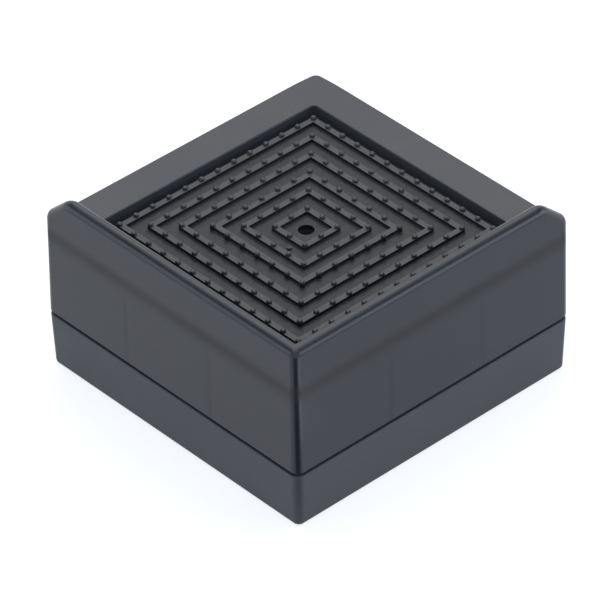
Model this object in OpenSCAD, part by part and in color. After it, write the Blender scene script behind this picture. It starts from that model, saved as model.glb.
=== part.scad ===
// Furniture riser: a square moulded housing with an L of retaining walls, a gripping pad
// let into its top, and a rubber boot that it stands in.
// Millimetres, +Z up. The origin is the centre of the footprint on the floor.
// The walls stand on the +X and -Y sides; the ledge is open on the -X and +Y sides.

/* [Housing] */
// Width and depth of the housing at the ledge
body_w = 108; // [96:1:150]
// Height of the ledge above the floor
ledge_z = 51.8; // [44:0.2:80]
// How much further out each side stands at the foot of the skirt than at the ledge
skirt_flare = 0.43; // [0.2:0.01:0.8]
// Thickness of the skirt below the ledge
skirt_t = 3; // [2:0.1:4]
// Thickness of the deck that the ledge and the pad lie on
deck_t = 7; // [6:0.1:10]
// Thickness of the stiffening ribs
rib_t = 2.2; // [1.6:0.1:3]
// Cells along each side, between the ribs
cells = 3; // [2:1:4]

/* [Retaining walls] */
// Height of the walls above the ledge
wall_rise = 11.3; // [8:0.1:16]
// Thickness of the walls, whose rims are fully rounded
wall_t = 4.8; // [3.6:0.1:6]
// Height above the ledge at which each open end is cut off
end_rise = 2.9; // [2.1:0.1:4]
// Length of the slanted cut along the wall
end_cut = 9.4; // [6:0.1:14]
// Inside radius of the lower bend of the cut
bend_low_r = 1.8; // [1:0.1:2.4]
// Inside radius of the upper bend of the cut
bend_top_r = 4; // [2:0.1:6]
// Fillet between the walls and the ledge
foot_r = 1.8; // [1.3:0.1:2.5]
// Fillet up the inside of the corner of the walls
corner_r = 1.2; // [0.8:0.1:1.2]

/* [Pad and its pocket] */
// Width of the ledge from the pocket to the outer side
ledge_w = 11.8; // [9:0.1:14]
// Depth of the pocket below the ledge
pocket_d = 4; // [3:0.1:4.4]
// Corner radius of the pocket
pocket_r = 1.2; // [0.6:0.1:2]
// Thickness of the pad's sheet
sheet_t = 1.7; // [1.2:0.1:2.4]
// Gap between the pad's edge and the wall of the pocket
pad_gap = 3.17; // [2:0.01:4]
// Rows of studs on each side of the centre
rows = 6; // [4:1:6]
// Diameter of a stud
stud_d = 1.8; // [1:0.1:2.2]
// Height of a stud above the sheet
stud_h = 2; // [1.4:0.1:2.2]
// Width of a ridge
ridge_t = 1.9; // [1.2:0.1:2.4]
// Height of a ridge above the sheet
ridge_h = 1.1; // [0.5:0.1:1.3]
// Diameter of the hole through the middle of the pad
hole_d = 5; // [3:0.1:6]
// Diameter of the gate mark between the two inner ridges
gate_d = 1.7; // [0.8:0.1:2]

/* [Boot] */
// Height of the joint between the boot and the housing
joint_z = 19.2; // [14:0.1:24]
// Height of the shadow gap at that joint
joint_gap = 1.1; // [0.5:0.1:1.4]
// Corner radius at the top of the boot
boot_r = 2.9; // [2.6:0.1:4]
// How much each side of the boot draws in from its top to the floor
boot_taper = 0.75; // [0.3:0.05:0.9]
// Rounding of the boot's lower edge
sole_r = 1.3; // [0.8:0.1:1.6]
// Thickness of the sole
sole_t = 4; // [3:0.1:6]
// Height of the collar that reaches up inside the skirt
collar_h = 7; // [4:0.1:10]
// Thickness of the collar
collar_t = 2.5; // [2:0.1:3.5]
// Width of a tread groove
groove_w = 1.6; // [1:0.1:2.4]
// Depth of a tread groove
groove_d = 0.9; // [0.5:0.1:1.5]
// Spacing of the tread grooves
groove_pitch = 8; // [6:0.5:10]
// Number of tread grooves
grooves = 5; // [3:1:6]

/* [Hidden] */
$fn = 64;

// Clearance of the boot's collar in the skirt and round the ribs
fit = 0.15;
// Run-out of the cuts
over = 1;
// Height of the edge at which a fillet runs out
toe = 0.02;
// Steps in a bend of the rim and in the rounding of the sole
bend_steps = 4;
// Facets round a rim and round an outer corner
rim_facets = 48;
// Radii of the pad's ridges in stud pitches; the third stands a little inside its studs
ridge_shares = [1, 2, 2.88, 3.98, 4.98, 5.95];
// Place of the gate mark in stud pitches
gate_shares = [0.5, -1.5];

half = body_w / 2;
rim_r = wall_t / 2;
top_z = ledge_z + wall_rise;
skirt_z = joint_z + joint_gap / 2;
shoulder_z = joint_z - joint_gap / 2;
boot_w = body_w + 2 * skirt_flare;
floor_r = boot_r - boot_taper;
collar_z = joint_z + collar_h;
inner_w = body_w - 2 * skirt_t;
collar_w = inner_w - 2 * fit;
well_w = collar_w - 2 * collar_t;
cell_w = (inner_w - (cells - 1) * rib_t) / cells;
deck_z = ledge_z - deck_t;
pocket_w = body_w - 2 * ledge_w;
pocket_z = ledge_z - pocket_d;
sheet_z = pocket_z + sheet_t;
pad_w = pocket_w - 2 * pad_gap;
stud_pitch = (pad_w - ridge_t) / (2 * ridge_shares[rows - 1]);
gate_h = ridge_h / 2;

// The slanted cut: its angle, and the two corners of the rim's centre line
cut_a = atan2(wall_rise - end_rise, end_cut);
low_turn = 90 - cut_a;
low_v = [rim_r, ledge_z + end_rise - rim_r * tan(low_turn / 2)];
top_v = [end_cut + rim_r * tan(cut_a / 2), top_z - rim_r];
low_c = low_v + [bend_low_r, -bend_low_r * tan(low_turn / 2)];
top_c = top_v + [bend_top_r * tan(cut_a / 2), -bend_top_r];

housing();
grip_pad();
boot();

// Square with round corners, centred
module round_square(w, r) {
    square([w - 2 * r, w], center = true);
    square([w, w - 2 * r], center = true);
    for (x = [-1, 1], y = [-1, 1])
        translate([x * (w / 2 - r), y * (w / 2 - r)]) circle(r);
}

// Upright block on that square, from z0 up to z1
module block(w, r, z0, z1) {
    translate([0, 0, z0]) linear_extrude(z1 - z0) round_square(w, r);
}

// Moulded housing: skirt, deck, pocket, ribs and the two walls
module housing() {
    color([0.16, 0.17, 0.19]) {
        difference() {
            union() {
                housing_body();
                wall();
                mirror([1, 1, 0]) wall();
                wall_corner();
            }
            cell_cuts();
            block(pocket_w, pocket_r, pocket_z, ledge_z + over);
            cylinder(h = top_z, d = hole_d);
        }
        rib_feet();
    }
}

// Outer body of the housing up to the ledge, wider at its foot
module housing_body() {
    c = half - rim_r;
    hull() for (x = [-c, c], y = [-c, c])
        translate([x, y, skirt_z]) cylinder(h = ledge_z - skirt_z, r1 = rim_r + skirt_flare,
            r2 = rim_r, $fn = rim_facets);
}

// The -Y wall, from its cut end to the corner. The other wall is its mirror image in the
// diagonal of the square.
module wall() {
    hull() {
        for (p = concat(bend_points(low_c, bend_low_r, 90 + cut_a, 180),
                        bend_points(top_c, bend_top_r, 90, 90 + cut_a)))
            rim_ball(p.x, p.y);
        rim_ball(body_w - rim_r, top_z - rim_r);
        for (x = [rim_r, body_w - rim_r])
            translate([x - half, -half + rim_r, ledge_z - over])
                cylinder(h = over, r = rim_r, $fn = rim_facets);
    }
    foot();
}

// Ball at a point of the rim's centre line: x along the wall from its open end, and height
module rim_ball(x, z) {
    translate([x - half, -half + rim_r, z]) sphere(rim_r, $fn = rim_facets);
}

// Points of a bend of the centre line
function bend_points(c, r, from, to) =
    [for (i = [0 : bend_steps]) let (t = from + (to - from) * i / bend_steps)
        c + r * [cos(t), sin(t)]];

// Fillet up the inside of the corner
module wall_corner() {
    translate([half - wall_t, -half + wall_t, ledge_z - over])
        linear_extrude(wall_rise - rim_r + over) mirror([1, 0, 0]) fillet(corner_r);
}

// Fillet along the foot of the -Y wall, and on round its open end
module foot() {
    translate([-half + rim_r, -half + wall_t, ledge_z]) rotate([90, 0, 90])
        linear_extrude(body_w - 2 * rim_r) fillet(foot_r, toe);
    intersection() {
        translate([-half + rim_r, -half + rim_r, ledge_z]) rotate([0, 0, 90])
            rotate_extrude(angle = 90) translate([rim_r, 0]) fillet(foot_r);
        translate([-half, -half, ledge_z]) cube([rim_r, wall_t + foot_r, foot_r]);
    }
}

// Section of a concave fillet in the corner of the +X and +Y axes, set into both by a little
module fillet(r, sunk = 0) {
    difference() {
        translate([-sunk, -sunk]) square(r + sunk);
        translate([r, r]) circle(r - toe);
    }
}

// Hollow cells under the deck
module cell_cuts() {
    first = -inner_w / 2;
    step = cell_w + rib_t;
    for (i = [0 : cells - 1], j = [0 : cells - 1])
        translate([first + i * step, first + j * step, skirt_z - over])
            cube([cell_w, cell_w, deck_z - skirt_z + over]);
}

// Ribs below the skirt, down to the sole inside the boot's collar
module rib_feet() {
    run = well_w - 2 * fit;
    first = -inner_w / 2 + cell_w;
    step = cell_w + rib_t;
    for (i = [0 : cells - 2], turn = [0, 90])
        rotate([0, 0, turn]) translate([first + i * step, -run / 2, sole_t])
            cube([rib_t, run, deck_z - sole_t + over]);
}

// Rubber pad: a sheet with square ridges and a grid of studs
module grip_pad() {
    color([0.2, 0.2, 0.21]) difference() {
        union() {
            block(pad_w, stud_d / 2, pocket_z, sheet_z);
            for (i = [0 : rows - 1]) ridge(stud_pitch * ridge_shares[i]);
            for (i = [-rows : rows], j = [-rows : rows])
                if (i != 0 || j != 0)
                    translate([i * stud_pitch, j * stud_pitch, pocket_z])
                        cylinder(h = sheet_t + stud_h, d = stud_d, $fn = 24);
            translate([gate_shares.x * stud_pitch, gate_shares.y * stud_pitch, pocket_z])
                cylinder(h = sheet_t + gate_h, d = gate_d, $fn = 24);
        }
        translate([0, 0, pocket_z - over])
            cylinder(h = sheet_t + stud_h + 2 * over, d = hole_d);
    }
}

// One square ridge whose middle line is a given distance from the centre
module ridge(d) {
    translate([0, 0, pocket_z]) linear_extrude(sheet_t + ridge_h) difference() {
        round_square(2 * d + ridge_t, stud_d / 2);
        square(2 * d - ridge_t, center = true);
    }
}

// Rubber boot: sole, side wall and the collar that fits inside the skirt
module boot() {
    color([0.18, 0.18, 0.19]) difference() {
        union() {
            boot_body();
            block(collar_w, fit, sole_t, collar_z);
        }
        translate([-well_w / 2, -well_w / 2, sole_t]) cube([well_w, well_w, collar_z]);
        for (i = [1 : grooves]) groove(i * groove_pitch);
        rib_slots();
    }
}

// Slots in the collar, in which the ends of the ribs stand
module rib_slots() {
    first = -inner_w / 2 + cell_w - fit;
    step = cell_w + rib_t;
    for (i = [0 : cells - 2], turn = [0, 90])
        rotate([0, 0, turn]) translate([first + i * step, -inner_w / 2, skirt_z - fit])
            cube([rib_t + 2 * fit, inner_w, collar_z - skirt_z + over]);
}

// Outer body of the boot: corner posts with a rounded foot, and what lies between them
module boot_body() {
    c = boot_w / 2 - boot_r;
    rounding = [for (i = [0 : bend_steps]) let (t = 90 * i / bend_steps)
        [floor_r - sole_r + sole_r * sin(t), sole_r - sole_r * cos(t)]];
    hull() for (x = [-c, c], y = [-c, c])
        translate([x, y, 0]) rotate_extrude($fn = rim_facets)
            polygon(concat([[0, 0]], rounding, [[boot_r, shoulder_z], [0, shoulder_z]]));
}

// Square tread groove in the sole, a given distance from the centre
module groove(d) {
    translate([0, 0, -over]) linear_extrude(groove_d + over) difference() {
        square(2 * d + groove_w, center = true);
        square(2 * d - groove_w, center = true);
    }
}
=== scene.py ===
"""Looks of a furniture riser: a moulded housing with an L of walls, a gripping pad and a boot.

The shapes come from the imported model. Each piece is taken from its node, its sharp edges are
rounded off as a mould leaves them, and it gets a procedural finish. Lengths are in metres, +Z is
up, and the origin lies on the floor under the middle of the riser.
"""

import logging
import math
from abc import ABC, abstractmethod
from collections.abc import Callable
from dataclasses import dataclass, field
from enum import Enum

import bmesh
import bpy
from mathutils import Matrix, Vector


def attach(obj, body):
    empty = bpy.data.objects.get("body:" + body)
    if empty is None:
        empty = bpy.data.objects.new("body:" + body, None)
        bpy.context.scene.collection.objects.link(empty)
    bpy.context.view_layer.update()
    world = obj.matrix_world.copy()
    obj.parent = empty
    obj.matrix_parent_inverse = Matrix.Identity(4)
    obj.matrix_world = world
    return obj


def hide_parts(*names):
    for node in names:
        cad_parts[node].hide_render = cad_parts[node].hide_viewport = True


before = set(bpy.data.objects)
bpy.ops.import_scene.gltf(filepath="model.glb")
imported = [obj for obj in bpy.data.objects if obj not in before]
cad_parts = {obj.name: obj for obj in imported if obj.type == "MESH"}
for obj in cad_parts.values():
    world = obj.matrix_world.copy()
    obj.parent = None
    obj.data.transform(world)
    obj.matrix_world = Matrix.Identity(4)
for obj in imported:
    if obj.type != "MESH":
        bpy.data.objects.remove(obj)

LOG = logging.getLogger("riser")
MERGE = 1e-6
FLAT = math.radians(0.2)
AIM = Vector((0, 0, 0.03))

Colour = tuple[float, float, float]
Point = tuple[float, float, float]


class Side(Enum):
    """A side of the riser as the camera sees it, as a direction over the floor."""

    LEFT = (-0.669, -0.743)
    RIGHT = (0.669, 0.743)
    BACK = (-0.743, 0.669)
    FRONT = (0.743, -0.669)
    FRONT_RIGHT = (0.951, -0.308)


class Slot(Enum):
    """Material slots of the record."""

    HOUSING = "housing_plastic"
    PAD = "pad_rubber"
    BOOT = "boot_rubber"


# Node trees


class Wiring:
    """A node tree with short ways to add and join its nodes."""

    def __init__(self, tree: bpy.types.NodeTree) -> None:
        """Keeps the tree.

        Args:
            tree: The node tree of a material, a world or a group.
        """
        self.tree = tree

    def add(self, kind: str, values: dict | None = None, **settings: object) -> bpy.types.Node:
        """Adds a node.

        Args:
            kind: Blender's type name of the node.
            values: Values for its inputs, by name or number.
            settings: Its own properties, such as operation.

        Returns:
            The new node.
        """
        node = self.tree.nodes.new(kind)
        for name, value in settings.items():
            setattr(node, name, value)
        for name, value in (values or {}).items():
            node.inputs[name].default_value = value
        return node

    def join(self, source: bpy.types.NodeSocket, target: bpy.types.NodeSocket) -> None:
        """Joins an output to an input."""
        self.tree.links.new(source, target)

    def math(self, operation: str, first: object, second: object = None,
             clamp: bool = False) -> bpy.types.NodeSocket:
        """Adds a Math node.

        Args:
            operation: The operation's name, such as MULTIPLY.
            first: A socket or a number.
            second: A socket, a number or nothing.
            clamp: Whether the result is held between 0 and 1.

        Returns:
            The result's socket.
        """
        node = self.add("ShaderNodeMath", operation=operation, use_clamp=clamp)
        for place, item in enumerate((first, second)):
            if isinstance(item, bpy.types.NodeSocket):
                self.join(item, node.inputs[place])
            elif item is not None:
                node.inputs[place].default_value = item
        return node.outputs[0]

    def mix(self, share: bpy.types.NodeSocket, low: object,
            high: object) -> bpy.types.NodeSocket:
        """Mixes two colours.

        Args:
            share: How much of the second colour is taken.
            low: The first colour, or its socket.
            high: The second colour, or its socket.

        Returns:
            The mixed colour's socket.
        """
        node = self.add("ShaderNodeMix", data_type="RGBA")
        self.join(share, node.inputs["Factor"])
        for place, item in ((6, low), (7, high)):
            if isinstance(item, bpy.types.NodeSocket):
                self.join(item, node.inputs[place])
            else:
                node.inputs[place].default_value = (*item, 1.0)
        return node.outputs[2]

    def spread(self, source: bpy.types.NodeSocket, low: float, high: float,
               start: float = 0.0, end: float = 1.0) -> bpy.types.NodeSocket:
        """Maps a value from one range to another.

        Args:
            source: The value's socket.
            low: Result at the start of the range.
            high: Result at the end of the range.
            start: Start of the range that is read.
            end: End of the range that is read.

        Returns:
            The result's socket.
        """
        node = self.add("ShaderNodeMapRange", {"From Min": start, "From Max": end,
                                               "To Min": low, "To Max": high})
        self.join(source, node.inputs["Value"])
        return node.outputs["Result"]

    def hump(self, source: bpy.types.NodeSocket, centre: float,
             width: float) -> bpy.types.NodeSocket:
        """A smooth hump that is 1 at the centre and falls off over the width.

        Args:
            source: The value's socket, such as a coordinate.
            centre: Where the hump stands.
            width: How far from the centre it has fallen to about a third.

        Returns:
            The hump's socket.
        """
        off = self.math("DIVIDE", self.math("SUBTRACT", source, centre), width)
        square = self.math("MULTIPLY", off, off)
        return self.math("EXPONENT", self.math("MULTIPLY", square, -1.0))


def new_group(name: str, inputs: dict[str, float], outputs: dict[str, str]) -> Wiring:
    """Makes an empty shader node group.

    Args:
        name: The group's name.
        inputs: Names of its number inputs and their first values.
        outputs: Names of its outputs and their socket types.

    Returns:
        The group's wiring.
    """
    tree = bpy.data.node_groups.new(name, "ShaderNodeTree")
    for title, value in inputs.items():
        socket = tree.interface.new_socket(name=title, in_out="INPUT",
                                           socket_type="NodeSocketFloat")
        socket.default_value = value
    for title, kind in outputs.items():
        tree.interface.new_socket(name=title, in_out="OUTPUT", socket_type=kind)
    return Wiring(tree)


@dataclass
class Effects:
    """Surface effects that the finishes share, each a node group."""

    grain: bpy.types.NodeTree = field(init=False)
    mottle: bpy.types.NodeTree = field(init=False)
    dust: bpy.types.NodeTree = field(init=False)
    # The edges group paints a highlight along edges.
    edges: bpy.types.NodeTree = field(init=False)

    def build(self) -> None:
        """Builds every group once."""
        self.grain = self.make_grain()
        self.mottle = self.make_mottle()
        self.dust = self.make_dust()
        self.edges = self.make_edge_highlight()
        LOG.info("effects: %s", ", ".join(g.name for g in bpy.data.node_groups))

    def make_grain(self) -> bpy.types.NodeTree:
        """Fine skin that a sparked mould leaves: small soft pits over a finer roughness.

        Returns:
            The group, with the inputs Scale and Pits and the output Height.
        """
        w = new_group("moulded_grain", {"Scale": 1800.0, "Pits": 0.5},
                      {"Height": "NodeSocketFloat"})
        given = w.add("NodeGroupInput")
        out = w.add("NodeGroupOutput")
        place = w.add("ShaderNodeTexCoord").outputs["Object"]
        noise = w.add("ShaderNodeTexNoise", {"Detail": 3.0, "Roughness": 0.6})
        cells = w.add("ShaderNodeTexVoronoi", feature="SMOOTH_F1")
        w.join(place, noise.inputs["Vector"])
        w.join(place, cells.inputs["Vector"])
        w.join(given.outputs["Scale"], noise.inputs["Scale"])
        w.join(w.math("MULTIPLY", given.outputs["Scale"], 0.55), cells.inputs["Scale"])
        pits = w.math("MULTIPLY", cells.outputs["Distance"], given.outputs["Pits"])
        w.join(w.math("ADD", noise.outputs["Fac"], pits), out.inputs["Height"])
        return w.tree

    def make_mottle(self) -> bpy.types.NodeTree:
        """Broad uneven patches, as flow in the mould and handling leave on a surface.

        Returns:
            The group, with the inputs Scale, Low and High and the outputs Value and Mask.
        """
        w = new_group("uneven_patches", {"Scale": 60.0, "Low": 0.4, "High": 0.5},
                      {"Value": "NodeSocketFloat", "Mask": "NodeSocketFloat"})
        given = w.add("NodeGroupInput")
        out = w.add("NodeGroupOutput")
        place = w.add("ShaderNodeTexCoord").outputs["Object"]
        noise = w.add("ShaderNodeTexNoise", {"Detail": 4.0, "Roughness": 0.55,
                                             "Distortion": 0.6})
        w.join(place, noise.inputs["Vector"])
        w.join(given.outputs["Scale"], noise.inputs["Scale"])
        mask = w.spread(noise.outputs["Fac"], 0.0, 1.0, 0.3, 0.7)
        span = w.math("SUBTRACT", given.outputs["High"], given.outputs["Low"])
        value = w.math("ADD", w.math("MULTIPLY", mask, span), given.outputs["Low"])
        w.join(value, out.inputs["Value"])
        w.join(mask, out.inputs["Mask"])
        return w.tree

    def make_dust(self) -> bpy.types.NodeTree:
        """Faint dust on faces that look up.

        Returns:
            The group, with the inputs Scale and Amount and the output Mask.
        """
        w = new_group("settled_dust", {"Scale": 500.0, "Amount": 0.1},
                      {"Mask": "NodeSocketFloat"})
        given = w.add("NodeGroupInput")
        out = w.add("NodeGroupOutput")
        place = w.add("ShaderNodeTexCoord").outputs["Object"]
        noise = w.add("ShaderNodeTexNoise", {"Detail": 5.0, "Roughness": 0.7})
        w.join(place, noise.inputs["Vector"])
        w.join(given.outputs["Scale"], noise.inputs["Scale"])
        specks = w.spread(noise.outputs["Fac"], 0.0, 1.0, 0.45, 0.8)
        turn = w.add("ShaderNodeSeparateXYZ")
        w.join(w.add("ShaderNodeNewGeometry").outputs["Normal"], turn.inputs[0])
        up = w.spread(turn.outputs["Z"], 0.0, 1.0, 0.3, 1.0)
        held = w.math("MULTIPLY", w.math("MULTIPLY", specks, up), given.outputs["Amount"])
        w.join(held, out.inputs["Mask"])
        return w.tree

    def make_edge_highlight(self) -> bpy.types.NodeTree:
        """Painted highlight along edges, which makes them stand out a little.

        Returns:
            The group, with the inputs Radius and Amount and the output Mask.
        """
        w = new_group("painted_edge_highlight", {"Radius": 0.0006, "Amount": 0.5},
                      {"Mask": "NodeSocketFloat"})
        given = w.add("NodeGroupInput")
        out = w.add("NodeGroupOutput")
        soft = w.add("ShaderNodeBevel", samples=4)
        w.join(given.outputs["Radius"], soft.inputs["Radius"])
        dot = w.add("ShaderNodeVectorMath", operation="DOT_PRODUCT")
        w.join(soft.outputs["Normal"], dot.inputs[0])
        w.join(w.add("ShaderNodeNewGeometry").outputs["Normal"], dot.inputs[1])
        edge_highlight = w.spread(dot.outputs["Value"], 1.0, 0.0, 0.75, 0.99)
        w.join(w.math("MULTIPLY", edge_highlight, given.outputs["Amount"]), out.inputs["Mask"])
        return w.tree


# Finishes


@dataclass(frozen=True)
class Finish(ABC):
    """A finish of one of the riser's materials.

    Attributes:
        name: The material's name.
        colour: Its colour.
        pale: The colour of its dust, of its painted light and of its painted highlight along
            edges.
        roughness: Its lowest and its highest roughness.
        patches: How close its uneven patches lie.
        grain: How fine its skin is.
        depth: Height of the skin's grain.
        edge: How strong the painted highlight along its edges is.
        dust: How much dust lies on it.
        shade_and_dulling: How much painted shade darkens its dull parts, and how much rougher
            they are.
        painted_light_share: How strongly its parts with painted light are painted pale.
        shade: How dark its darker patches are, as a share of the colour.
        dust_dulling: How much dust adds to the roughness.
    """

    name: str
    colour: Colour
    pale: Colour
    roughness: tuple[float, float]
    patches: float
    grain: float
    depth: float
    edge: float
    dust: float
    shade_and_dulling: tuple[float, float]
    painted_light_share: float
    shade: float = field(default=0.8, kw_only=True)
    dust_dulling: float = field(default=0.4, kw_only=True)

    @abstractmethod
    def relief(self, w: Wiring, bump: bpy.types.Node) -> None:
        """Adds what this finish alone has to the surface's relief."""

    @abstractmethod
    def shaded_and_dull_parts(self, w: Wiring) -> bpy.types.NodeSocket:
        """Adds the mask of the parts that are rougher and painted darker as painted shade."""

    @abstractmethod
    def painted_light_parts(self, w: Wiring) -> bpy.types.NodeSocket:
        """Adds the mask of the parts that are painted paler as painted light."""

    @abstractmethod
    def gloss(self, shader: bpy.types.Node) -> None:
        """Sets the sockets that make this finish's gloss."""

    def build(self, effects: Effects) -> bpy.types.Material:
        """Makes the material.

        Args:
            effects: The shared node groups.

        Returns:
            The finished material.
        """
        material = bpy.data.materials.new(self.name)
        material.use_nodes = True
        material.node_tree.nodes.clear()
        w = Wiring(material.node_tree)
        shader = w.add("ShaderNodeBsdfPrincipled")
        out = w.add("ShaderNodeOutputMaterial")
        w.join(shader.outputs[0], out.inputs["Surface"])

        mottle = w.add("ShaderNodeGroup", node_tree=effects.mottle)
        mottle.inputs["Scale"].default_value = self.patches
        mottle.inputs["Low"].default_value = self.roughness[0]
        mottle.inputs["High"].default_value = self.roughness[1]
        edges = w.add("ShaderNodeGroup", node_tree=effects.edges)
        edges.inputs["Amount"].default_value = self.edge
        dust = w.add("ShaderNodeGroup", node_tree=effects.dust)
        dust.inputs["Amount"].default_value = self.dust
        grain = w.add("ShaderNodeGroup", node_tree=effects.grain)
        grain.inputs["Scale"].default_value = self.grain

        # The dull parts are made rougher and, as painted shade, mixed towards black.
        dull = self.shaded_and_dull_parts(w)
        shade = tuple(self.shade * c for c in self.colour)
        colour = w.mix(mottle.outputs["Mask"], shade, self.colour)
        colour = w.mix(w.math("MULTIPLY", dull, self.shade_and_dulling[0]), colour, (0.0, 0.0, 0.0))
        # Painted light: the pocket's walls and the pad's tops are mixed towards the pale colour.
        painted_light_mask = w.math("MULTIPLY", self.painted_light_parts(w), self.painted_light_share)
        colour = w.mix(painted_light_mask, colour, self.pale)
        # Painted highlight along the edges; the dust after it is real dust.
        colour = w.mix(edges.outputs["Mask"], colour, self.pale)
        colour = w.mix(dust.outputs["Mask"], colour, self.pale)
        w.join(colour, shader.inputs["Base Color"])
        rough = w.math("ADD", mottle.outputs["Value"],
                       w.math("MULTIPLY", dust.outputs["Mask"], self.dust_dulling))
        rough = w.math("ADD", rough, w.math("MULTIPLY", dull, self.shade_and_dulling[1]), clamp=True)
        w.join(rough, shader.inputs["Roughness"])

        skin = w.add("ShaderNodeBump", {"Strength": 1.0, "Distance": self.depth})
        w.join(grain.outputs["Height"], skin.inputs["Height"])
        self.relief(w, skin)
        w.join(skin.outputs["Normal"], shader.inputs["Normal"])
        self.gloss(shader)
        return material


@dataclass(frozen=True)
class MouldedPlastic(Finish):
    """Satin plastic with shallow sinks where the deck and the ribs meet the outer skin; the sinks
    are bumped in and also painted darker as painted shade.

    Attributes:
        deck_level: Height of the sink in front of the deck.
        deck_spread: How wide that sink is.
        rib_place: How far from the middle the sinks in front of the ribs lie.
        rib_spread: How wide they are.
        rib_share: How strong they are beside the deck's sink.
        rib_fade: The heights between which they fade out.
        upright_fade: How far a face may lean before the sinks fade out on it, and where they end.
        sink: Depth of the sinks.
        pocket_half: Half the width of the pad's pocket.
        pocket_soft: Over what width the painted light on the pocket's walls fades out.
        pocket_fade: The heights between which it fades out.
    """

    deck_level: float = 0.0484
    deck_spread: float = 0.0027
    rib_place: float = 0.0181
    rib_spread: float = 0.0011
    rib_share: float = 0.34
    rib_fade: tuple[float, float] = (0.040, 0.046)
    upright_fade: tuple[float, float] = (0.1, 0.5)
    sink: float = 0.00009
    pocket_half: float = 0.0428
    pocket_soft: float = 0.0004
    pocket_fade: tuple[float, float] = (0.0510, 0.0517)

    def shaded_and_dull_parts(self, w: Wiring) -> bpy.types.NodeSocket:
        """Adds the mask of the sinks, which are also painted darker as painted shade.

        Args:
            w: The material's wiring.

        Returns:
            The mask's socket.
        """
        place = w.add("ShaderNodeSeparateXYZ")
        w.join(w.add("ShaderNodeTexCoord").outputs["Object"], place.inputs[0])
        across = w.math("MINIMUM", w.math("ABSOLUTE", place.outputs["X"]),
                        w.math("ABSOLUTE", place.outputs["Y"]))
        band = w.hump(place.outputs["Z"], self.deck_level, self.deck_spread)
        below = w.spread(place.outputs["Z"], 1.0, 0.0, *self.rib_fade)
        rib = w.math("MULTIPLY", w.hump(across, self.rib_place, self.rib_spread), below)
        turn = w.add("ShaderNodeSeparateXYZ")
        w.join(w.add("ShaderNodeNewGeometry").outputs["Normal"], turn.inputs[0])
        lean = w.math("ABSOLUTE", turn.outputs["Z"])
        upright = w.spread(lean, 1.0, 0.0, *self.upright_fade)
        both = w.math("ADD", band, w.math("MULTIPLY", rib, self.rib_share))
        return w.math("MULTIPLY", both, upright)

    def painted_light_parts(self, w: Wiring) -> bpy.types.NodeSocket:
        """Adds the mask of the walls of the pad's pocket, which are painted paler as painted
        light.

        Args:
            w: The material's wiring.

        Returns:
            The mask's socket.
        """
        place = w.add("ShaderNodeSeparateXYZ")
        w.join(w.add("ShaderNodeTexCoord").outputs["Object"], place.inputs[0])
        out = w.math("MAXIMUM", w.math("ABSOLUTE", place.outputs["X"]),
                     w.math("ABSOLUTE", place.outputs["Y"]))
        inside = w.spread(out, 1.0, 0.0, self.pocket_half, self.pocket_half + self.pocket_soft)
        low = w.spread(place.outputs["Z"], 1.0, 0.0, *self.pocket_fade)
        return w.math("MULTIPLY", inside, low)

    def relief(self, w: Wiring, bump: bpy.types.Node) -> None:
        """Adds the sinks under the grain.

        Args:
            w: The material's wiring.
            bump: The grain's bump node, which takes the sinks as its normal.
        """
        sinks = w.add("ShaderNodeBump", {"Strength": 1.0, "Distance": self.sink}, invert=True)
        w.join(self.shaded_and_dull_parts(w), sinks.inputs["Height"])
        w.join(sinks.outputs["Normal"], bump.inputs["Normal"])

    def gloss(self, shader: bpy.types.Node) -> None:
        """Sets a plastic's plain gloss."""
        shader.inputs["IOR"].default_value = 1.5
        shader.inputs["Specular IOR Level"].default_value = 0.37


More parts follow.
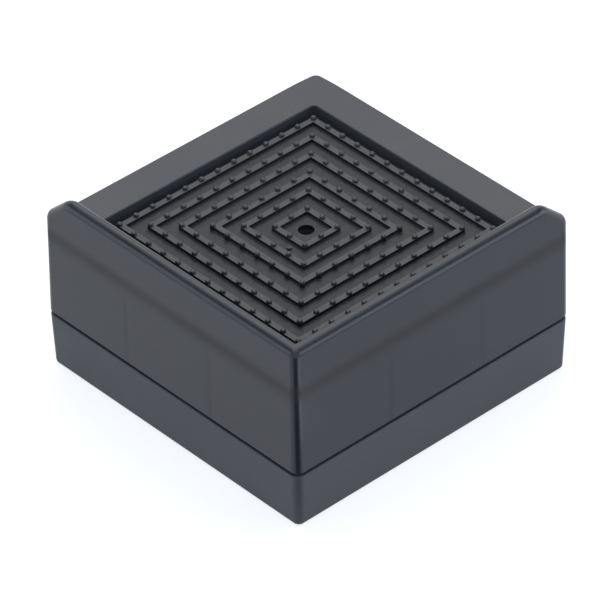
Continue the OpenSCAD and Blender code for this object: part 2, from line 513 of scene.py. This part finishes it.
@dataclass(frozen=True)
class MouldedRubber(Finish):
    """Rubber with slow waves in its skin, rougher and painted darker as painted shade below a
    level than above it, and painted paler as painted highlight above a higher level.

    Attributes:
        wave: Height of the waves.
        wave_scale: How close the waves lie.
        shade_dull_from: The level above which it is glossy and has no painted shade.
        shade_dull_to: The level below which it is dull and fully painted darker as shade.
        painted_light_from: The level above which its tops are painted pale as painted highlight.
        painted_light_fade: Over what height the painted highlight on the tops sets in.
        sheen: Strength of its soft sheen.
    """

    wave: float = 0.00003
    wave_scale: float = 90.0
    shade_dull_from: float = 0.0008
    shade_dull_to: float = 0.0002
    painted_light_from: float = 1.0
    painted_light_fade: float = 0.0002
    sheen: float = 0.08

    def shaded_and_dull_parts(self, w: Wiring) -> bpy.types.NodeSocket:
        """Adds the mask of what lies below the level, which is painted darker as painted shade.

        Args:
            w: The material's wiring.

        Returns:
            The mask's socket.
        """
        place = w.add("ShaderNodeSeparateXYZ")
        w.join(w.add("ShaderNodeTexCoord").outputs["Object"], place.inputs[0])
        return w.spread(place.outputs["Z"], 1.0, 0.0, self.shade_dull_to, self.shade_dull_from)

    def painted_light_parts(self, w: Wiring) -> bpy.types.NodeSocket:
        """Adds the mask of the tops, which are painted paler as painted highlight.

        Args:
            w: The material's wiring.

        Returns:
            The mask's socket.
        """
        place = w.add("ShaderNodeSeparateXYZ")
        w.join(w.add("ShaderNodeTexCoord").outputs["Object"], place.inputs[0])
        full = self.painted_light_from + self.painted_light_fade
        return w.spread(place.outputs["Z"], 0.0, 1.0, self.painted_light_from, full)

    def relief(self, w: Wiring, bump: bpy.types.Node) -> None:
        """Adds the slow waves under the grain.

        Args:
            w: The material's wiring.
            bump: The grain's bump node, which takes the waves as its normal.
        """
        noise = w.add("ShaderNodeTexNoise", {"Scale": self.wave_scale, "Detail": 2.0})
        w.join(w.add("ShaderNodeTexCoord").outputs["Object"], noise.inputs["Vector"])
        waves = w.add("ShaderNodeBump", {"Strength": 1.0, "Distance": self.wave})
        w.join(noise.outputs["Fac"], waves.inputs["Height"])
        w.join(waves.outputs["Normal"], bump.inputs["Normal"])

    def gloss(self, shader: bpy.types.Node) -> None:
        """Sets a rubber's dull gloss and sheen."""
        shader.inputs["IOR"].default_value = 1.45
        shader.inputs["Specular IOR Level"].default_value = 0.45
        shader.inputs["Sheen Weight"].default_value = self.sheen
        shader.inputs["Sheen Roughness"].default_value = 0.5


# In these finishes the edge amount paints a highlight along edges, the share of the pale colour
# paints light on the pocket's walls and the pad's tops, and the first of the two dulling values
# paints shade.
HOUSING_FINISH = MouldedPlastic(
    name="housing_satin_plastic", colour=(0.0155, 0.019, 0.028), pale=(0.060, 0.064, 0.074),
    roughness=(0.25, 0.33), patches=45.0, grain=2600.0, depth=0.000010, edge=0.10, dust=0.06,
    shade_and_dulling=(0.5, 0.20), painted_light_share=0.8)
PAD_FINISH = MouldedRubber(
    name="pad_grip_rubber", colour=(0.011, 0.012, 0.017), pale=(0.100, 0.103, 0.116),
    roughness=(0.22, 0.30), patches=90.0, grain=2000.0, depth=0.00016, edge=0.40, dust=0.10,
    shade_and_dulling=(0.3, 0.20), painted_light_share=0.16, shade_dull_from=0.0510, shade_dull_to=0.0498,
    painted_light_from=0.0503, sheen=0.0)
BOOT_FINISH = MouldedRubber(
    name="boot_matte_rubber", colour=(0.044, 0.048, 0.057), pale=(0.085, 0.091, 0.102),
    roughness=(0.52, 0.64), patches=70.0, grain=2800.0, depth=0.000016, edge=0.12, dust=0.05,
    shade_and_dulling=(0.2, 0.05), painted_light_share=0.0)


# Pieces


@dataclass
class MouldedPiece(ABC):
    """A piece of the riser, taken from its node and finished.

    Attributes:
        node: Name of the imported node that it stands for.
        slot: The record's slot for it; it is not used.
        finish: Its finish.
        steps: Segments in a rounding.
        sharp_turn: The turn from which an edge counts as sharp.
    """

    node: str
    slot: Slot
    finish: Finish
    steps: int = 3
    sharp_turn: float = math.radians(38)

    def take(self) -> bmesh.types.BMesh:
        """Copies the node's mesh and joins its loose triangles.

        Returns:
            A closed mesh with flat faces joined up.
        """
        bm = bmesh.new()
        bm.from_mesh(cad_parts[self.node].data)
        bmesh.ops.remove_doubles(bm, verts=bm.verts, dist=MERGE)
        bmesh.ops.dissolve_limit(bm, angle_limit=FLAT, verts=bm.verts, edges=bm.edges,
                                 delimit=set())
        return bm

    @abstractmethod
    def shape(self, bm: bmesh.types.BMesh) -> None:
        """Rounds the piece's edges."""

    def round_off(self, bm: bmesh.types.BMesh, wanted: Callable[[bmesh.types.BMEdge], bool],
                  radius: float, steps: int | None = None) -> int:
        """Rounds the sharp outward edges for which a test holds.

        Args:
            bm: The piece's mesh.
            wanted: The test on an edge.
            radius: Radius of the rounding.
            steps: Segments in it, or None for the piece's own number.

        Returns:
            How many edges were rounded.
        """
        edges = [e for e in bm.edges if len(e.link_faces) == 2 and e.is_convex
                 and e.calc_face_angle() > self.sharp_turn and wanted(e)]
        if edges:
            bmesh.ops.bevel(bm, geom=edges, offset=radius, offset_type="OFFSET",
                            segments=steps or self.steps, profile=0.5, affect="EDGES",
                            clamp_overlap=True, material=-1)
        return len(edges)

    def build(self, effects: Effects) -> bpy.types.Object:
        """Builds and dresses the piece.

        Args:
            effects: The shared node groups.

        Returns:
            The finished object, on its body.
        """
        bm = self.take()
        self.shape(bm)
        for edge in bm.edges:
            edge.smooth = len(edge.link_faces) == 2 and (
                edge.calc_face_angle() < self.sharp_turn)
        for face in bm.faces:
            face.smooth = True
        mesh = bpy.data.meshes.new(self.node + "_finished")
        bm.to_mesh(mesh)
        bm.free()
        piece = bpy.data.objects.new(self.node + "_finished", mesh)
        bpy.context.scene.collection.objects.link(piece)
        mesh.materials.append(self.finish.build(effects))
        level = piece.modifiers.new("even_normals", "WEIGHTED_NORMAL")
        level.keep_sharp = True
        level.weight = 100
        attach(piece, "root")
        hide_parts(self.node)
        LOG.info("%s: %d faces", piece.name, len(mesh.polygons))
        return piece


@dataclass
class Housing(MouldedPiece):
    """Moulded housing: its ledge, walls, pocket and skirt.

    Attributes:
        ledge_z: Height of the ledge.
        skirt_z: Height of the skirt's lower rim.
        half: Half its width at the ledge.
        wall_t: Thickness of the walls.
        clear: How far from the walls the ledge's rounding ends.
        band: How far in from the side the edges of an outer rim may lie.
        pocket_reach: How far from the middle the edges of the pocket's rim may lie.
        lip_r: Radius of the ledge's rim.
        pocket_lip: Radius of the pocket's rim.
        skirt_lip: Radius of the skirt's lower rim.
        skirt_steps: Segments in it.
    """

    ledge_z: float = 0.0518
    skirt_z: float = 0.01975
    half: float = 0.054
    wall_t: float = 0.0048
    clear: float = 0.002
    band: float = 0.0026
    pocket_reach: float = 0.0425
    lip_r: float = 0.0006
    pocket_lip: float = 0.0007
    skirt_lip: float = 0.0003
    skirt_steps: int = 2

    def on_ledge_rim(self, edge: bmesh.types.BMEdge) -> bool:
        """Whether an edge is on the ledge's outer rim, clear of the walls."""
        free = self.half - self.wall_t - self.clear
        return all(abs(v.co.z - self.ledge_z) < MERGE
                   and max(-v.co.x, v.co.y) > self.half - self.band
                   and v.co.x < free and v.co.y > -free for v in edge.verts)

    def on_pocket_rim(self, edge: bmesh.types.BMEdge) -> bool:
        """Whether an edge is on the rim of the pad's pocket."""
        return all(abs(v.co.z - self.ledge_z) < MERGE
                   and max(abs(v.co.x), abs(v.co.y)) < self.pocket_reach for v in edge.verts)

    def on_skirt_rim(self, edge: bmesh.types.BMEdge) -> bool:
        """Whether an edge is on the skirt's outer lower rim."""
        return all(abs(v.co.z - self.skirt_z) < MERGE
                   and max(abs(v.co.x), abs(v.co.y)) > self.half - self.band
                   for v in edge.verts)

    def shape(self, bm: bmesh.types.BMesh) -> None:
        """Rounds the ledge's rim, the pocket's rim and the skirt's lower rim."""
        rim = self.round_off(bm, self.on_ledge_rim, self.lip_r)
        pocket = self.round_off(bm, self.on_pocket_rim, self.pocket_lip)
        skirt = self.round_off(bm, self.on_skirt_rim, self.skirt_lip, self.skirt_steps)
        LOG.info("housing: rounded %d rim, %d pocket and %d skirt edges", rim, pocket, skirt)


@dataclass
class GripPad(MouldedPiece):
    """Rubber pad with square ridges and a grid of studs.

    Attributes:
        stud_z: Height of the studs' tops.
        ridge_z: Height of the ridges' tops.
        stud_lip: Radius of a stud's top.
        stud_steps: Segments in it.
        ridge_lip: Radius of a ridge's top.
        ridge_steps: Segments in it.
    """

    stud_z: float = 0.0515
    ridge_z: float = 0.0506
    stud_lip: float = 0.0007
    stud_steps: int = 4
    ridge_lip: float = 0.00025
    ridge_steps: int = 2

    def at(self, edge: bmesh.types.BMEdge, level: float) -> bool:
        """Whether an edge lies at a level."""
        return all(abs(v.co.z - level) < 2 * MERGE for v in edge.verts)

    def shape(self, bm: bmesh.types.BMesh) -> None:
        """Rounds the tops of the studs and the ridges."""
        studs = self.round_off(bm, lambda e: self.at(e, self.stud_z), self.stud_lip,
                               self.stud_steps)
        ridges = self.round_off(bm, lambda e: self.at(e, self.ridge_z), self.ridge_lip,
                                self.ridge_steps)
        LOG.info("pad: rounded %d stud and %d ridge edges", studs, ridges)


@dataclass
class Boot(MouldedPiece):
    """Rubber boot in which the housing stands.

    Attributes:
        shoulder_z: Height of its shoulder.
        half: Half its width at the shoulder.
        band: How far in from the side the shoulder's outer edges may lie.
        top_lip: Radius of the shoulder's edge.
    """

    shoulder_z: float = 0.01865
    half: float = 0.05443
    band: float = 0.0025
    top_lip: float = 0.0004

    def on_shoulder(self, edge: bmesh.types.BMEdge) -> bool:
        """Whether an edge lies on the outer side of the shoulder."""
        return all(abs(v.co.z - self.shoulder_z) < MERGE
                   and max(abs(v.co.x), abs(v.co.y)) > self.half - self.band
                   for v in edge.verts)

    def shape(self, bm: bmesh.types.BMesh) -> None:
        """Rounds the shoulder's edge."""
        top = self.round_off(bm, self.on_shoulder, self.top_lip)
        LOG.info("boot: rounded %d shoulder edges", top)


# Stage


@dataclass(frozen=True)
class Panel(ABC):
    """A flat panel of the studio, turned to the riser.

    Attributes:
        name: Its name.
        side: The side of the riser on which it stands.
        reach: How far away it stands over the floor.
        height: Its height above the floor.
        size: Its width and height.
        level: Whether it lies level instead of facing the riser.
    """

    name: str
    side: Side
    reach: float
    height: float
    size: tuple[float, float]
    level: bool = False

    def put(self, thing: bpy.types.Object) -> None:
        """Puts the panel's object in its place, hidden from the camera.

        Args:
            thing: The object, whose face looks along its own -Z.
        """
        way = Vector((*self.side.value, 0.0))
        thing.location = way * self.reach + Vector((0, 0, self.height))
        look = AIM - thing.location
        turn = look.to_track_quat("-Z", "Y")
        if self.level:
            turn = Matrix((way.cross((0, 0, 1)), way, (0, 0, 1))).transposed().to_quaternion()
        thing.rotation_euler = turn.to_euler()
        thing.visible_camera = False
        bpy.context.scene.collection.objects.link(thing)

    @abstractmethod
    def build(self) -> bpy.types.Object:
        """Builds the panel and puts it in its place."""


@dataclass(frozen=True)
class SoftBox(Panel):
    """A large soft lamp.

    Attributes:
        glow: How bright its face is, where 1 is white.
        tint: Its colour.
    """

    glow: float = 1.0
    tint: Colour = (1.0, 1.0, 1.0)

    def build(self) -> bpy.types.Object:
        """Sets the lamp up.

        Returns:
            The lamp's object.
        """
        lamp = bpy.data.lights.new(self.name, "AREA")
        lamp.shape = "RECTANGLE"
        lamp.size, lamp.size_y = self.size
        lamp.energy = self.glow * math.pi * self.size[0] * self.size[1]
        lamp.color = self.tint
        box = bpy.data.objects.new(self.name, lamp)
        self.put(box)
        return box


@dataclass(frozen=True)
class Card(Panel):
    """A dark or a bright card, which only reflections show.

    Attributes:
        tone: How bright it is, where 1 is white.
        near_share: Width of its near edge in widths of its far edge.
    """

    tone: float = 0.02
    near_share: float = 1.0

    def build(self) -> bpy.types.Object:
        """Sets the card up.

        Returns:
            The card's object.
        """
        bm = bmesh.new()
        bmesh.ops.create_grid(bm, x_segments=1, y_segments=1, size=0.5)
        bmesh.ops.scale(bm, vec=(*self.size, 1.0), verts=bm.verts)
        near = [v for v in bm.verts if v.co.y < 0]
        bmesh.ops.scale(bm, vec=(self.near_share, 1.0, 1.0), verts=near)
        mesh = bpy.data.meshes.new(self.name)
        bm.to_mesh(mesh)
        bm.free()
        card = bpy.data.objects.new(self.name, mesh)
        self.put(card)
        card.visible_diffuse = False
        card.visible_shadow = False
        material = bpy.data.materials.new(self.name + "_paint")
        material.use_nodes = True
        material.node_tree.nodes.clear()
        w = Wiring(material.node_tree)
        paint = w.add("ShaderNodeEmission", {"Strength": self.tone})
        w.join(paint.outputs[0], w.add("ShaderNodeOutputMaterial").inputs["Surface"])
        mesh.materials.append(material)
        return card


@dataclass
class Studio:
    """White floor, white surroundings, soft lamps and cards.

    Attributes:
        floor_half: Half the floor's width.
        floor_tone: How pale the floor is to the light that it sends on.
        lift: The glow by which the floor shows white.
        catch: How pale it is where it is seen, which keeps the riser's shadow on it.
        room: Colour and strength of the light from all round.
        panels: The lamps and cards.
    """

    floor_half: float = 3.0
    floor_tone: float = 0.80
    lift: Colour = (0.755, 0.765, 0.79)
    catch: float = 0.35
    room: Colour = (0.52, 0.57, 0.66)
    panels: tuple[Panel, ...] = (
        SoftBox("top_box", Side.BACK, 0.62, 1.0, (0.85, 1.9), True, 1.7, (1.0, 1.0, 1.0)),
        SoftBox("left_box", Side.LEFT, 1.1, 0.30, (1.0, 0.6), False, 1.1, (0.88, 0.94, 1.0)),
        SoftBox("right_box", Side.RIGHT, 1.1, 0.30, (1.0, 0.6), False, 2.5, (0.86, 0.93, 1.0)),
        Card("right_card", Side.FRONT_RIGHT, 0.15, 0.0002, (0.03, 0.10), True, 2.6),
        Card("front_flag", Side.FRONT, 0.14, 0.0002, (0.143, 0.12), True, 0.02, 0.04),
        Card("left_flag", Side.LEFT, 1.0, 0.92, (2.2, 0.36)),
        Card("right_flag", Side.RIGHT, 1.0, 0.92, (2.2, 0.36)),
    )

    def build_floor(self) -> None:
        """Lays the floor, white to the camera but for the riser's own soft shadow."""
        bm = bmesh.new()
        bmesh.ops.create_grid(bm, x_segments=1, y_segments=1, size=self.floor_half)
        mesh = bpy.data.meshes.new("floor")
        bm.to_mesh(mesh)
        bm.free()
        floor = bpy.data.objects.new("floor", mesh)
        bpy.context.scene.collection.objects.link(floor)
        mesh.materials.append(self.floor_paint())

    def shown(self, w: Wiring) -> bpy.types.NodeSocket:
        """Adds the mask of the rays that show the background itself.

        Args:
            w: The wiring of a material or of the world.

        Returns:
            The mask's socket, 1 for camera, glossy and transmission rays.
        """
        path = w.add("ShaderNodeLightPath")
        both = w.math("MAXIMUM", path.outputs["Is Camera Ray"], path.outputs["Is Glossy Ray"])
        return w.math("MAXIMUM", both, path.outputs["Is Transmission Ray"])

    def floor_paint(self) -> bpy.types.Material:
        """Makes the floor's material.

        Returns:
            A pale matte material that can't be seen from below.
        """
        material = bpy.data.materials.new("floor_paint")
        material.use_nodes = True
        material.node_tree.nodes.clear()
        w = Wiring(material.node_tree)
        out = w.add("ShaderNodeOutputMaterial")
        plain = w.add("ShaderNodeBsdfDiffuse", {"Color": (self.floor_tone,) * 3 + (1.0,)})
        faint = w.add("ShaderNodeBsdfDiffuse", {"Color": (self.catch,) * 3 + (1.0,)})
        glow = w.add("ShaderNodeEmission", {"Color": (*self.lift, 1.0)})
        seen = w.add("ShaderNodeAddShader")
        w.join(faint.outputs[0], seen.inputs[0])
        w.join(glow.outputs[0], seen.inputs[1])
        pick = w.add("ShaderNodeMixShader")
        w.join(self.shown(w), pick.inputs[0])
        w.join(plain.outputs[0], pick.inputs[1])
        w.join(seen.outputs[0], pick.inputs[2])
        clear = w.add("ShaderNodeBsdfTransparent")
        below = w.add("ShaderNodeMixShader")
        w.join(w.add("ShaderNodeNewGeometry").outputs["Backfacing"], below.inputs[0])
        w.join(pick.outputs[0], below.inputs[1])
        w.join(clear.outputs[0], below.inputs[2])
        w.join(below.outputs[0], out.inputs["Surface"])
        return material

    def build_room(self) -> None:
        """Makes the surroundings: white where they are seen, even soft light elsewhere."""
        world = bpy.data.worlds.new("studio")
        bpy.context.scene.world = world
        world.use_nodes = True
        world.node_tree.nodes.clear()
        w = Wiring(world.node_tree)
        out = w.add("ShaderNodeOutputWorld")
        light = w.add("ShaderNodeBackground", {"Color": (*self.room, 1.0), "Strength": 1.0})
        white = w.add("ShaderNodeBackground", {"Color": (1.0, 1.0, 1.0, 1.0), "Strength": 1.0})
        pick = w.add("ShaderNodeMixShader")
        w.join(self.shown(w), pick.inputs[0])
        w.join(light.outputs[0], pick.inputs[1])
        w.join(white.outputs[0], pick.inputs[2])
        w.join(pick.outputs[0], out.inputs["Surface"])

    def build(self) -> None:
        """Builds the floor, the surroundings and the lamps."""
        self.build_floor()
        self.build_room()
        for panel in self.panels:
            panel.build()
        bpy.context.scene.view_settings.view_transform = "Standard"
        LOG.info("studio: %d panels", len(self.panels))


@dataclass(frozen=True)
class Viewpoint:
    """The camera, at the photograph's viewing angle, framing the one riser.

    Attributes:
        place: Where it stands.
        azimuth: Its direction over the floor, from the -Y axis towards +X.
        elevation: How high it stands, as an angle.
        roll: Its turn about its own axis.
        lens: Focal length, in millimetres.
        sensor: Width of its sensor, in millimetres.
        clip: Nearest and farthest distance that it sees.
    """

    place: Point = (0.9198, -0.8283, 0.9697)
    azimuth: float = math.radians(48.02)
    elevation: float = math.radians(37.45)
    roll: float = math.radians(-1.21)
    lens: float = 312.2
    sensor: float = 36.0
    clip: tuple[float, float] = (0.05, 20.0)

    def build(self) -> bpy.types.Object:
        """Sets the camera up.

        Returns:
            The camera's object.
        """
        data = bpy.data.cameras.new("camera")
        data.lens = self.lens
        data.sensor_width = self.sensor
        data.clip_start, data.clip_end = self.clip
        camera = bpy.data.objects.new("camera", data)
        bpy.context.scene.collection.objects.link(camera)
        back = Vector((math.sin(self.azimuth) * math.cos(self.elevation),
                       -math.cos(self.azimuth) * math.cos(self.elevation),
                       math.sin(self.elevation)))
        level = Vector((0, 0, 1)).cross(back).normalized()
        up = back.cross(level)
        right = math.cos(self.roll) * level + math.sin(self.roll) * up
        head = back.cross(right)
        turn = Matrix((right, head, back)).transposed()
        camera.matrix_world = Matrix.Translation(self.place) @ turn.to_4x4()
        bpy.context.scene.camera = camera
        return camera


def main() -> None:
    """Builds the riser's pieces, its studio and the camera."""
    logging.basicConfig(level=logging.INFO, format="%(name)s: %(message)s")
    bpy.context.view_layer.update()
    Viewpoint().build()
    effects = Effects()
    effects.build()
    pieces = [
        Boot("boot", Slot.BOOT, BOOT_FINISH),
        Housing("housing", Slot.HOUSING, HOUSING_FINISH),
        GripPad("grip_pad", Slot.PAD, PAD_FINISH),
    ]
    for piece in pieces:
        piece.build(effects)
    Studio().build()


if __name__ == "__main__":
    main()
